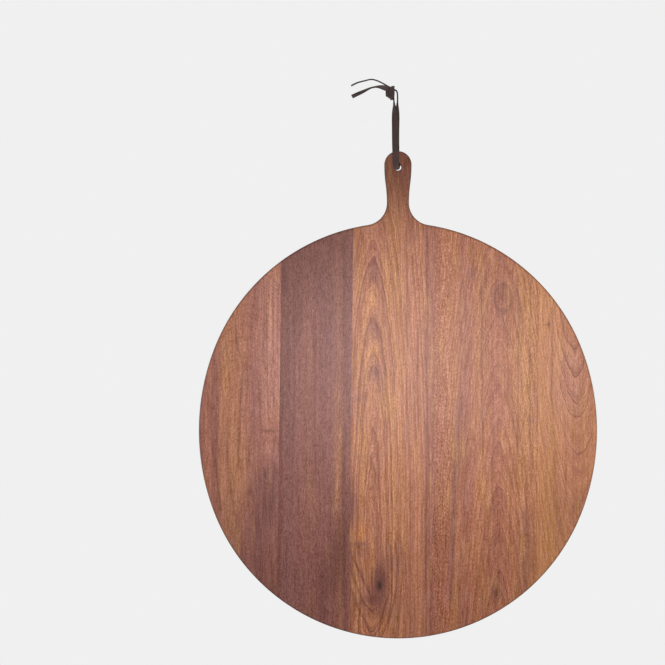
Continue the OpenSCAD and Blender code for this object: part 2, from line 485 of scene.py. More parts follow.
def shown(
    name: str, mesh: bpy.types.Mesh, finish: bpy.types.Material, smooth_to: float = 35.0
) -> bpy.types.Object:
    """Put a mesh in the scene in its finish, shaded smooth up to an angle.

    Args:
        name: The object's name.
        mesh: Its mesh.
        finish: Its material.
        smooth_to: The widest angle, in degrees, that is shaded smooth.

    Returns:
        The object.
    """
    mesh.shade_smooth()
    mesh.set_sharp_from_angle(angle=math.radians(smooth_to))
    mesh.materials.append(finish)
    return linked(name, mesh)


def fitted(piece: bpy.types.Object, node: str, body: str) -> None:
    """Let a piece take the place of a node of the frame.

    Args:
        piece: The finer piece.
        node: The node that it replaces.
        body: The body that it moves with.
    """
    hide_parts(node)
    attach(piece, body)


def arc(centre: tuple[float, float], radius: float, start: float, stop: float, step: float) -> np.ndarray:
    """Points on an arc: centre plus radius times cosine and sine of the angle. The last is left out.

    Args:
        centre: The arc's centre.
        radius: Its radius.
        start: First angle in degrees.
        stop: Last angle in degrees.
        step: The widest step in degrees.

    Returns:
        The points, N by 2.
    """
    count = math.ceil(abs(stop - start) / step)
    turns = np.radians(np.linspace(start, stop, count, endpoint=False))
    return np.array(centre) + radius * np.stack([np.cos(turns), np.sin(turns)], axis=-1)


class Tone(Enum):
    """Ways in which a stretch of wood departs from its stave's own colour. The pale tone is also painted
    sheen in places, and the dark tone partly painted shade.
    """

    GOLD = 0
    PURPLE = 1
    DARK = 2
    SHEER = 3
    AMBER = 4


@dataclass(frozen=True)
class Band:
    """A stretch across a stave that runs the whole way along the grain."""

    x: float
    tone: Tone
    strength: float


@dataclass(frozen=True)
class Patch:
    """A soft spot of another tone, or only its outline where rim says how thick that is."""

    x: float
    z: float
    half_w: float
    half_h: float
    tone: Tone
    strength: float
    slant: float = 0.0
    rim: float = 0.0


@dataclass(frozen=True)
class Swirl:
    """A knot or an eye that the rings bend round, and how dark its core is."""

    x: float
    z: float
    half_w: float
    half_h: float
    pull: float
    core: float = 0.0
    core_r: float = 3.0
    core_stretch: float = 2.2


@dataclass(frozen=True)
class Streak:
    """A line in the grain that takes its own way: its X and Z from the top down, width and tone."""

    points: tuple[tuple[float, float], ...]
    width: float
    tone: Tone
    strength: float


@dataclass(frozen=True)
class Peak:
    """A dark ring that crosses the heart's line at a height, and how far its shade reaches."""

    z: float
    strength: float = 1.0
    fade: float = 26.0
    line: float = 6.0
    shade: float = 0.5


def rows(kind: type, *values: tuple) -> tuple:
    """Make one item of a kind from each row of values."""
    return tuple(kind(*row) for row in values)


@dataclass(frozen=True)
class Walnut:
    """How one stave was sawn from its log, and its colours.

    The rings are round the log's heart. heart_depth is how far behind the front face the heart lies at
    the middle of the board, taper how much that grows for each millimetre of height, and bow how much
    it grows away from bow_z, for each 100 mm squared. A roundness below 2 makes the arches pointed.
    """

    colour: Colour
    heart_x: float
    heart_depth: float
    taper: float
    heart_lean: float = 0.0
    bow: float = 0.0
    bow_z: float = -420.0
    ring_w: float = 3.0
    ring_strength: float = 0.35
    peak_strength: float = 0.6
    sway: float = 1.0
    roundness: float = 2.0
    bands: tuple[Band, ...] = ()
    streaks: tuple[Streak, ...] = ()
    patches: tuple[Patch, ...] = ()
    swirls: tuple[Swirl, ...] = ()
    peaks: tuple[Peak, ...] = ()
    speckle_x: Optional[float] = None
    speckle_half_w: float = 15.0
    grit: float = 1.0
    fibre_l: float = 16.0
    hue_play: float = 0.45
    ragged: float = 0.6
    seed: float = 0.0


@dataclass(frozen=True)
class WalnutDye:
    """Colours that all the staves share."""

    gold: Colour = srgb(200, 144, 88)
    purple: Colour = srgb(125, 84, 81)
    dark: Colour = srgb(88, 49, 36)
    line: Colour = srgb(117, 64, 56)
    # Pale rosy grey, for pale grain and for painted sheen
    sheer: Colour = srgb(196, 142, 126)
    core: Colour = srgb(38, 26, 26)
    olive: Colour = srgb(196, 146, 92)
    # Painted light on the groove's lit bottom, a lighter gold
    oiled: Colour = srgb(178, 118, 66)
    amber: Colour = srgb(212, 142, 88)
    rosy: Colour = srgb(172, 116, 104)

    def of(self, tone: Tone) -> Colour:
        """The colour of a tone, which is the dye of the same name."""
        return getattr(self, tone.name.lower())


@dataclass(frozen=True)
class Cells:
    """Noise in cells stretched along the grain, and the shares of the seed that shift it across and along."""

    width: float
    length: float
    detail: float = 2.0
    shift: tuple[float, float] = (1.0, 0.0)


@dataclass(frozen=True)
class Grain:
    """Fine structure that all the staves share.

    Names that end in mm say how far something is pushed aside, and those that end in light or dark how
    much of the colour's lightness it adds or takes. A span is where something begins and is complete.
    """

    wave: Cells = Cells(70, 170)
    wave_mm: float = 9.0
    ripple: Cells = Cells(16, 75)
    ripple_mm: float = 2.2
    streak_hold: float = 0.9
    ragged: Cells = Cells(7, 16, 2.0, (0.0, 1.0))
    ragged_mm: float = 3.2
    heart_wander_l: float = 45.0
    heart_wander_mm: float = 1.6
    cloud_w: float = 22.0
    cloud_l: float = 130.0
    cloud_play: float = 1.6
    year_wander_w: float = 8.0
    year_play: float = 2.4
    late_power: float = 2.2
    faintest_year: float = 0.4
    fine_rings: float = 0.41
    fine_wander_w: float = 3.0
    fine_play: float = 1.5
    fine_strength: float = 0.55
    ring_limit: float = 0.85
    ramp_lead: float = 4.0
    ramp_tail: float = 2.0
    least_line: float = 0.2
    line_fall: float = 1.5
    least_fall: float = 0.12
    arch_patch_w: float = 6.0
    arch_patch: float = 0.9
    streak_start: Span = (-0.05, 0.1)
    streak_end: Span = (0.9, 1.05)
    streak_slack: float = 1.0
    hue: Cells = Cells(8, 60, 3.0)
    hue_span: Span = (0.0, 0.3)
    fibre_w: float = 1.4
    fibre_light: float = 0.9
    coarse: Cells = Cells(3.4, 90, 3.0)
    coarse_light: float = 0.75
    coarse_grey: float = 0.2
    pores: Cells = Cells(1.0, 5, 1.0, (0.0, 1.0))
    pore_span: Span = (0.08, 0.24)
    pore_dark: float = 0.3
    grit: Cells = Cells(1.1, 2.6, 1.0, (0.0, 1.0))
    grit_light: float = 1.05
    fleck: Cells = Cells(2.2, 2.8, 1.0, (0.0, 0.0))
    fleck_light: float = 2.0
    # Painted shade on the sides and eased edges, where they turn away from the front and back
    side_span: Span = (0.35, 0.98)
    side_dark: float = 0.35
    eased_start: Span = (0.02, 0.25)
    eased_end: Span = (0.75, 0.97)
    eased_dark: float = 0.32
    # Painted shade on the groove's walls, with their darker cut grain, and painted light on its bottom
    wall_start: Span = (0.0, 0.06)
    wall_end: Span = (0.45, 0.97)
    wall_dark: float = 0.78
    bottom_span: Span = (0.7, 1.0)
    bottom_tint: float = 0.45
    roughness: float = 0.4
    roughness_play: float = 0.1
    specular: float = 0.25
    fibre_high: float = 0.5
    pore_low: float = 0.4
    relief_mm: float = 0.08


class WalnutFinish(Shader):
    """The oiled walnut of one stave, made as a field in space so that it runs on over the edges."""

    middle_z = -420.0
    front_y = -9.0
    dye = WalnutDye()
    grain = Grain()

    def __init__(self, name: str, wood: Walnut, left: float, right: float) -> None:
        """Start the material and work out where a point lies in the log.

        Args:
            name: The material's name.
            wood: The stave's wood.
            left: X where its bands begin.
            right: X where they end.
        """
        super().__init__(name)
        self.wood = wood
        self.left, self.span = left, right - left
        self.x, self.y, self.z = self.place()
        grain = self.grain
        warp = self._celled(grain.wave, self.x) * (grain.wave_mm * wood.sway)
        warp = warp + self._celled(grain.ripple, self.x) * (grain.ripple_mm * wood.sway)
        self.across = self.x + warp
        self.steadied = self.across - warp * grain.streak_hold
        self.radius = self._radius()

    def _celled(self, cells: Cells, across: Value) -> Value:
        """Noise round 0 in cells of a width and length, shifted by the stave's seed.

        Args:
            cells: The cells.
            across: X, or the place across the wandering grain.

        Returns:
            The noise.
        """
        side, down = (share * self.wood.seed for share in cells.shift)
        x, y = across / cells.width + side, self.y / cells.width
        return self.noise(x, y, self.z / cells.length + down, cells.detail)

    def _depth_at(self, z: float) -> float:
        """Depth of the heart behind the front face at a height."""
        wood = self.wood
        return wood.heart_depth + wood.taper * (z - self.middle_z) + wood.bow * ((z - wood.bow_z) / 100) ** 2

    def _radius(self) -> Value:
        """Distance from the log's heart, which leans and runs nearer or deeper along the board.

        Returns:
            The distance in millimetres, on a superellipse round the heart.
        """
        wood, grain = self.wood, self.grain
        up = self.z - self.middle_z
        depth = up * wood.taper + (wood.heart_depth - self.front_y) + self.y
        depth = depth + ((self.z - wood.bow_z) / 100).squared() * wood.bow
        wander = self.noise(self.z / grain.heart_wander_l, wood.seed + 3.7, 0.0, 1.0)
        depth = depth + wander * grain.heart_wander_mm
        depth = depth + self._celled(grain.ragged, self.across) * (grain.ragged_mm * wood.ragged)
        side = self.across - wood.heart_x - up * wood.heart_lean
        power = wood.roundness
        radius = (side.size() ** power + depth.size() ** power) ** (1 / power)
        for swirl in wood.swirls:
            off = self._off(self.across, swirl, (swirl.half_w, swirl.half_h))
            radius = radius + off.fade() * swirl.pull
        return radius

    def _off(self, across: Value, spot: Union[Patch, Swirl], half: Span, slant: float = 0.0) -> Value:
        """Squared distance from a spot's middle.

        Args:
            across: X, or the place across the wandering grain.
            spot: What lies there.
            half: The half width and half height that count as 1.
            slant: How much the spot leans to the side, as a share.

        Returns:
            The squared distance.
        """
        up = (self.z - spot.z) / half[1]
        side = (across - spot.x) / half[0] - up * slant
        return side.squared() + up.squared()

    def build(self) -> bpy.types.Material:
        """Lay the colours over each other, from the stave's own to the finest grain, then paint shade on the
        edges and groove walls and light on the groove's bottom.

        Returns:
            The material.
        """
        wood, dye, grain = self.wood, self.dye, self.grain
        gold, purple, dark = self._bands()
        paint = self.mix(wood.colour, dye.gold, gold).tinted(dye.purple, purple).tinted(dye.dark, dark)
        for patch in wood.patches:
            paint = paint.tinted(dye.of(patch.tone), self._patch(patch))
        if wood.speckle_x is not None:
            paint = paint.grained(self._speckle())
        for streak in wood.streaks:
            paint = paint.tinted(dye.of(streak.tone), self._streak(streak))
        paint = paint.tinted(dye.line, self._rings())
        for swirl in wood.swirls:
            if swirl.core:
                off = self._off(self.x, swirl, (swirl.core_r, swirl.core_r * swirl.core_stretch))
                paint = paint.tinted(dye.core, off.fade() * swirl.core)

        hue = self._celled(grain.hue, self.across)
        paint = paint.tinted(dye.olive, hue.between(*grain.hue_span) * wood.hue_play)
        paint = paint.tinted(dye.rosy, (hue * -1.0).between(*grain.hue_span) * wood.hue_play)

        fibre = self._celled(Cells(grain.fibre_w, wood.fibre_l, 3.0), self.across)
        pores = self._celled(grain.pores, self.across).between(*grain.pore_span)
        grit = self._celled(grain.grit, self.across) * (grain.grit_light * wood.grit)
        coarse = self._celled(grain.coarse, self.across) * grain.coarse_light
        paint = paint.grained(coarse, grain.coarse_grey)
        paint = paint.grained(fibre * (grain.fibre_light * wood.grit) + grit - pores * grain.pore_dark)
        # Painted shade on the sides, eased edges and groove walls, and painted light on the groove's bottom
        paint = self._painted_groove_shading(paint.scaled(self._painted_edge_shade()))
        self.paint(paint)
        play = grain.roughness_play
        self.gloss(pores * play + (fibre * play + grain.roughness), grain.specular)
        height = fibre * grain.fibre_high + grain.fibre_high - pores * grain.pore_low
        self.relief(height, grain.relief_mm)
        return self.material

    def _rings(self) -> Value:
        """Dark lines at the end of each year's growth, fading inwards, each of its own strength.

        Returns:
            How dark, from 0 to 1.
        """
        wood, grain, radius = self.wood, self.grain, self.radius
        uneven = self.noise(radius / grain.year_wander_w, wood.seed + 1.3, 0.0, 1.0)
        count = radius / wood.ring_w + uneven * grain.year_play
        late = count.fraction() ** grain.late_power
        faintest = grain.faintest_year
        strength = self.lot(count.floor() + wood.seed) * (1 - faintest) + faintest
        uneven = self.noise(radius / grain.fine_wander_w, wood.seed, 0.0, 1.0)
        fine = (radius / (wood.ring_w * grain.fine_rings) + uneven * grain.fine_play).fraction().squared()
        lines = late * strength * wood.ring_strength + fine * (grain.fine_strength * wood.ring_strength)
        if wood.peaks:
            lines = lines + self._peaks()
        return self.maths("MINIMUM", lines, grain.ring_limit)

    def _peaks(self) -> Value:
        """The rings that show as arches, by a ramp over the distance from the heart.

        A ring's shade begins at its foot, is complete at its shoulder and ends just outside its line.

        Returns:
            How dark, from 0 to 1.
        """
        grain, nothing = self.grain, (0.0, 0.0, 0.0)
        rings = sorted(((self._depth_at(peak.z), peak) for peak in self.wood.peaks), key=lambda ring: ring[0])
        low = rings[0][0] - grain.ramp_lead
        span = rings[-1][0] + grain.ramp_tail - low
        stops: list[tuple[float, Colour]] = [(0.0, nothing)]
        for distance, peak in rings:
            slope = abs(self._depth_at(peak.z + 1) - self._depth_at(peak.z - 1)) / 2
            foot = (distance - peak.fade * slope - low) / span
            shoulder = (distance - max(peak.line * slope, grain.least_line) - low) / span
            end = (distance + max(grain.line_fall * slope, grain.least_fall) - low) / span
            if foot > stops[-1][0]:
                stops.append((foot, nothing))
            if shoulder > stops[-1][0]:
                stops.append((shoulder, (peak.shade * peak.strength,) * 3))
            stops.append(((distance - low) / span, (peak.strength,) * 3))
            stops.append((end, nothing))
        share = (self.radius - low) / span
        ramp = self.node("ShaderNodeValToRGB", {"stops": stops}, {"Fac": share}, "Color")
        patchy = self.noise(self.radius / grain.arch_patch_w, 0.0, self.wood.seed)
        return ramp * (patchy * grain.arch_patch + grain.arch_patch) * self.wood.peak_strength

    def _bands(self) -> tuple[Value, Value, Value]:
        """How golden, purple and dark the wood is, by a ramp across the stave that comes and goes.

        Returns:
            The amounts of the three tones.
        """
        stops: list[tuple[float, Colour]] = []
        for band in sorted(self.wood.bands, key=lambda item: item.x):
            tones = [0.0, 0.0, 0.0]
            tones[band.tone.value] = band.strength
            stops.append(((band.x - self.left) / self.span, tuple(tones)))
        share = (self.across - self.left) / self.span
        ramp = self.node("ShaderNodeValToRGB", {"stops": stops}, {"Fac": share}, "Color")
        gold, purple, dark = self.parts(ramp)
        grain = self.grain
        cloud = self.noise(self.across / grain.cloud_w, 0.0, self.z / grain.cloud_l + self.wood.seed)
        cloud = cloud * grain.cloud_play
        return gold * (1.0 + cloud), purple * (1.0 - cloud), dark

    def _patch(self, patch: Patch) -> Value:
        """How strongly a patch shows: a soft spot, or a soft ring where it is only an outline.

        Args:
            patch: The patch.

        Returns:
            Its strength at its middle or outline, and less from there.
        """
        off = self._off(self.x, patch, (patch.half_w, patch.half_h), patch.slant)
        if patch.rim:
            off = ((off.root() - 1.0) / patch.rim).squared()
        return off.fade() * patch.strength

    def _streak(self, streak: Streak) -> Value:
        """How strongly a streak shows, along a smooth curve through its points.

        Args:
            streak: The streak.

        Returns:
            Its strength on the line, and less beside it and past its ends.
        """
        top, bottom = streak.points[0][1], streak.points[-1][1]
        sides = [x for x, _ in streak.points]
        left, right = min(sides) - self.grain.streak_slack, max(sides) + self.grain.streak_slack
        curve = [((top - z) / (top - bottom), (x - left) / (right - left)) for x, z in streak.points]
        share = (top - self.z) / (top - bottom)
        way = self.node("ShaderNodeFloatCurve", {"curve": curve}, {"Value": share})
        off = (self.steadied - left - way * (right - left)) / streak.width
        ends = share.within(self.grain.streak_start, self.grain.streak_end)
        return off.squared().fade() * ends * streak.strength

    def _speckle(self) -> Value:
        """The light and dark flecks of curly grain, on one stretch across the stave."""
        side = (self.across - self.wood.speckle_x) / self.wood.speckle_half_w
        flecks = self._celled(self.grain.fleck, self.across)
        return flecks * side.squared().squared().fade() * self.grain.fleck_light

    def _painted_edge_shade(self) -> Value:
        """Painted shade on the sides and on the eased edges, darker where the surface turns away from the
        front and back.

        Returns:
            A factor, which is 1 on the flats.
        """
        grain = self.grain
        normal = self.node("ShaderNodeNewGeometry", None, None, "Normal")
        level = self.parts(normal)[1].size()
        eased = level.within(grain.eased_start, grain.eased_end)
        side = 1.0 - level.between(*grain.side_span)
        return (1.0 - side * grain.side_dark) * (1.0 - eased * grain.eased_dark)

    def _painted_groove_shading(self, paint: Paint) -> Paint:
        """Paint shade on the groove's walls, which also stands for their darker cut grain, and paint light on
        its round bottom as a lighter gold.

        Args:
            paint: The wood's colour.

        Returns:
            The colour in the groove too.
        """
        grain = self.grain
        down = self.attribute("groove_down")
        wall = down.within(grain.wall_start, grain.wall_end)
        golden = paint.tinted(self.dye.oiled, down.between(*grain.bottom_span) * grain.bottom_tint)
        return golden.scaled(1.0 - wall * grain.wall_dark)


@dataclass
class Board:
    """The five glued staves: sizes as in the frame, and their meshes."""

    stave_widths: tuple[float, ...] = (100.5, 89.5, 101.5, 132.5, 74.0)
    seam_lean: float = 0.7
    thickness: float = 18.0
    oval_rise: float = 22.0
    end_draw: float = 0.114
    arris_r: float = 2.5
    handle_reach: float = 69.5
    head_r: float = 17.0
    head_rise: float = 3.0
    neck_inset: float = 3.25
    fillet_r: float = 28.0
    hole_r: float = 4.4
    hole_bevel: float = 0.6
    rim_w: float = 11.0
    groove_w: float = 9.5
    groove_depth: float = 4.5
    lip_r: float = 0.5
    plumb_offset: float = 2.5
    loop_drop: float = 95.0
    support: float = 0.4
    oval_step: float = 1.2
    handle_step: float = 4.0
    arris_points: int = 7
    lip_points: int = 5
    bowl_points: int = 15
    band_margin: float = 12.0
    slack: float = 0.01
    woods: tuple[Walnut, ...] = field(default_factory=tuple)

    def __post_init__(self) -> None:
        """Work out the arcs, as seen from the hole's centre."""
        self.body_w = sum(self.stave_widths)
        self.body_h = self.body_w + self.oval_rise
        self.body_y = -self.handle_reach - self.body_h / 2
        end_inset = self.oval_rise * self.end_draw
        self.end_r = self.body_w / 2 - end_inset
        self.end_rise = self.body_h / 2 - self.end_r
        self.flank_shift = (self.end_rise**2 - end_inset**2) / (2 * end_inset)
        self.flank_r = self.body_w / 2 + self.flank_shift
        self.oval_turn = math.degrees(math.atan2(self.end_rise, self.flank_shift))
        self.neck_r = self.head_r - self.neck_inset
        self.fillet_x = self.neck_r + self.fillet_r
        self.end_y = self.body_y + self.end_rise
        self.fillet_y = self.end_y + math.sqrt((self.end_r + self.fillet_r) ** 2 - self.fillet_x**2)
        self.fillet_turn = math.degrees(math.atan2(self.fillet_y - self.end_y, self.fillet_x))
        side_drop = self.head_rise - self.fillet_y
        self.side_r = (self.neck_inset**2 + side_drop**2) / (4 * self.neck_inset)
        self.side_turn = math.degrees(math.asin(side_drop / (2 * self.side_r)))

    def _body_side(self, inset: float, last_turn: float) -> np.ndarray:
        """Right side of the oval body: three arcs from the bottom up.

        Args:
            inset: How far it is drawn in.
            last_turn: Angle, in degrees, at which the upper arc ends.

        Returns:
            X and Z seen from the hole's centre.
        """
        turn, step = self.oval_turn, self.oval_step
        return np.vstack([
            arc((0, self.body_y - self.end_rise), self.end_r - inset, -90, -turn, step),
            arc((-self.flank_shift, self.body_y), self.flank_r - inset, -turn, turn, step),
            arc((0, self.end_y), self.end_r - inset, turn, last_turn, step),
        ])

    def _handle_side(self, inset: float) -> np.ndarray:
        """Right side of the handle: fillet, the neck's two curves and the head.

        Args:
            inset: How far it is drawn in.

        Returns:
            X and Z seen from the hole's centre.
        """
        step, turn = self.handle_step, self.side_turn
        neck_x, head_x = self.neck_r + self.side_r, self.head_r - self.side_r
        return np.vstack([
            arc((self.fillet_x, self.fillet_y), self.fillet_r + inset, 180 + self.fillet_turn, 180, step),
            arc((neck_x, self.fillet_y), self.side_r + inset, 180, 180 - turn, step / 4),
            arc((head_x, self.head_rise), self.side_r - inset, -turn, 0, step / 4),
            arc((0, self.head_rise), self.head_r - inset, 0, 90, step),
        ])

    def _both_sides(self, side: np.ndarray, top: float) -> np.ndarray:
        """Mirror a right side to close the outline, and move it under the hanging point.

        Args:
            side: The right side, seen from the hole's centre.
            top: Height of the outline's highest point.

        Returns:
            X and Z of the whole outline.
        """
        outline = np.vstack([side, [[0, top]], side[:0:-1] * (-1, 1)])
        return outline + (self.plumb_offset, -self.loop_drop)

    def outline(self, inset: float) -> np.ndarray:
        """Outline of the whole board drawn in by inset, as X and Z."""
        side = np.vstack([self._body_side(inset, self.fillet_turn), self._handle_side(inset)])
        return self._both_sides(side, self.head_rise + self.head_r - inset)

    def oval(self, inset: float) -> np.ndarray:
        """Outline of the body alone drawn in by inset, as X and Z."""
        return self._both_sides(self._body_side(inset, 90), self.end_y + self.end_r - inset)

    def hole(self, radius: float) -> np.ndarray:
        """A circle round the hole's centre, as X and Z."""
        return arc((self.plumb_offset, -self.loop_drop), radius, 0, 360, self.handle_step)

    @staticmethod
    def _stacked(outline: Callable[[float], np.ndarray], profile: Sequence[Span]) -> np.ndarray:
        """Outlines at each inset and depth of a profile, as a grid."""
        return np.stack([at_depth(outline(inset), y) for inset, y in profile])

    def _whole(self) -> bpy.types.Mesh:
        """The whole board as one closed mesh.

        Returns:
            The mesh.
        """
        half, arris = self.thickness / 2, self.arris_r
        skin = Skin()
        turns = np.radians(np.linspace(90, 0, self.arris_points))
        front = [(arris * (1 - math.cos(t)), -(half - arris + arris * math.sin(t))) for t in turns]
        back = [(inset, -y) for inset, y in reversed(front)]
        flat_inset = arris + self.support
        edge = [(flat_inset, -half)] + front + back + [(flat_inset, half)]
        skin.grid(self._stacked(self.outline, edge)[:, ::-1])

        bevel_r = self.hole_r + self.hole_bevel
        face_r = bevel_r + self.support
        into = [(face_r, -half), (bevel_r, -half), (self.hole_r, -half + self.hole_bevel)]
        out = [(radius, -y) for radius, y in reversed(into)]
        skin.grid(self._stacked(self.hole, into + out))

        groove_skin, outer, inner = self._groove_profile()
        skin.grid(self._stacked(self.oval, groove_skin)[:, ::-1])
        face, hole_edge = self.outline(flat_inset), self.hole(face_r)
        skin.flat([face, hole_edge], -half, -1)
        skin.flat([face, hole_edge, self.oval(outer)], half, 1)
        skin.flat([self.oval(inner)], half, 1)
        return skin.mesh("board")

    def _groove_profile(self) -> tuple[list[Span], float, float]:
        """Inset and depth over the groove, with rounded lips, and where the flats meet it.

        Returns:
            The profile, and the insets of the flats outside and inside the groove.
        """
        half, lip = self.thickness / 2, self.lip_r
        radius = ((self.groove_w / 2) ** 2 + self.groove_depth**2) / (2 * self.groove_depth)
        middle = self.rim_w + self.groove_w / 2
        lift = radius - self.groove_depth
        reach = math.sqrt((radius + lip) ** 2 - (lift + lip) ** 2)
        meet = math.degrees(math.asin((lift + lip) / (radius + lip)))
        lip_turns = np.radians(np.linspace(90, meet, self.lip_points))
        bowl_turns = np.radians(np.linspace(meet, 180 - meet, self.bowl_points))
        outer_lip = [(middle - reach + lip * math.cos(t), half - lip + lip * math.sin(t)) for t in lip_turns]
        bowl = [(middle - radius * math.cos(t), half + lift - radius * math.sin(t)) for t in bowl_turns]
        inner_lip = [(2 * middle - inset, y) for inset, y in reversed(outer_lip)]
        outer, inner = middle - reach - self.support, middle + reach + self.support
        return [(outer, half)] + outer_lip + bowl[1:-1] + inner_lip + [(inner, half)], outer, inner

    def _mark_groove(self, mesh: bpy.types.Mesh) -> None:
        """Store how deep each point lies in the groove, from 0 at its lips to 1 at its bottom.

        Args:
            mesh: The whole board, in metres.
        """
        points = np.empty(len(mesh.vertices) * 3, dtype=np.float32)
        mesh.vertices.foreach_get("co", points)
        points = points.reshape(-1, 3) / METRES
        depth = self.thickness / 2 - points[:, 1]
        _, outer, inner = self._groove_profile()
        where, slack = points[:, ::2], self.slack
        in_groove = inside(where, self.oval(outer - slack)) & ~inside(where, self.oval(inner + slack))
        store(mesh, "groove_down", np.where(in_groove, np.clip(depth / self.groove_depth, 0, 1), 0.0))

    def _cut(self, work: bmesh.types.BMesh, number: int, keep_right: bool) -> None:
        """Cut a mesh at a glue line and close the cut.

        Args:
            work: The mesh.
            number: The glue line's number from the left, which is the stave's to its left.
            keep_right: Whether the part to its right is kept.
        """
        x = self.plumb_offset - self.body_w / 2 + sum(self.stave_widths[:number])
        z = self.body_y - self.loop_drop
        lean = math.radians(self.seam_lean)
        cut = bmesh.ops.bisect_plane(
            work,
            geom=work.verts[:] + work.edges[:] + work.faces[:],
            dist=SAME_PLACE,
            plane_co=(x * METRES, 0.0, z * METRES),
            plane_no=(math.cos(lean), 0.0, -math.sin(lean)),
            clear_inner=keep_right,
            clear_outer=not keep_right,
        )
        edges = [item for item in cut["geom_cut"] if isinstance(item, bmesh.types.BMEdge)]
        bmesh.ops.edgenet_fill(work, edges=edges)

    def build(self) -> None:
        """Cut the board into its staves and dress each."""
        whole = self._whole()
        self._mark_groove(whole)
        left = self.plumb_offset - self.body_w / 2
        for index, (width, wood) in enumerate(zip(self.stave_widths, self.woods)):
            number = index + 1
            work = bmesh.new()
            work.from_mesh(whole)
            if number > 1:
                self._cut(work, index, keep_right=True)
            if number < len(self.stave_widths):
                self._cut(work, number, keep_right=False)
            mesh = bpy.data.meshes.new(f"walnut_stave_{number}")
            work.to_mesh(mesh)
            work.free()
            right = left + width
            finish = WalnutFinish(f"walnut_{number}", wood, left - self.band_margin, right + self.band_margin)
            piece = shown(f"walnut_stave_{number}", mesh, finish.build())
            fitted(piece, f"stave_{number}", "board")
            LOG.info("stave %d: %d faces", number, len(mesh.polygons))
            left = right
        bpy.data.meshes.remove(whole)


@dataclass(frozen=True)
class Leather:
    """Dark brown lace leather, cut from the hide with square edges."""

    face: Colour = srgb(60, 43, 40)
    worn: Colour = srgb(88, 66, 58)
    edge: Colour = srgb(26, 19, 19)
    roughness: float = 0.55
    specular: float = 0.35
    pebble_mm: float = 0.7
    pebble_dark: float = 0.4
    pebble_rough: float = 0.2
    lift: float = 1.15
    mottle: Point = (6.0, 6.0, 9.0)
    worn_span: Span = (0.0, 0.25)
    worn_share: float = 0.6
    edge_share: float = 0.9
    relief_mm: float = 0.12

    def material(self) -> bpy.types.Material:
        """Build the leather: pebbled grain, rubbed high spots and darker cut edges.

        Returns:
            The material.
        """
        shader = Shader("lace_leather")
        x, y, z = shader.place()
        pebble = self.pebble_mm
        grain = shader.node(
            "ShaderNodeTexVoronoi",
            {"feature": "SMOOTH_F1"},
            {"Vector": shader.vector(x / pebble, y / pebble, z / pebble), "Scale": 1.0},
            "Distance",
        )
        cell_x, cell_y, cell_z = self.mottle
        mottle = shader.noise(x / cell_x, y / cell_y, z / cell_z, 3.0)
        paint = shader.mix(self.face, self.worn, mottle.between(*self.worn_span) * self.worn_share)
        paint = paint.tinted(self.edge, shader.attribute("cut_edge") * self.edge_share)
        paint = paint.scaled(self.lift - grain * self.pebble_dark)
        shader.paint(paint)
        shader.gloss(grain * self.pebble_rough + self.roughness, self.specular)
        shader.relief(mottle * 0.5 - grain, self.relief_mm)
        return shader.material


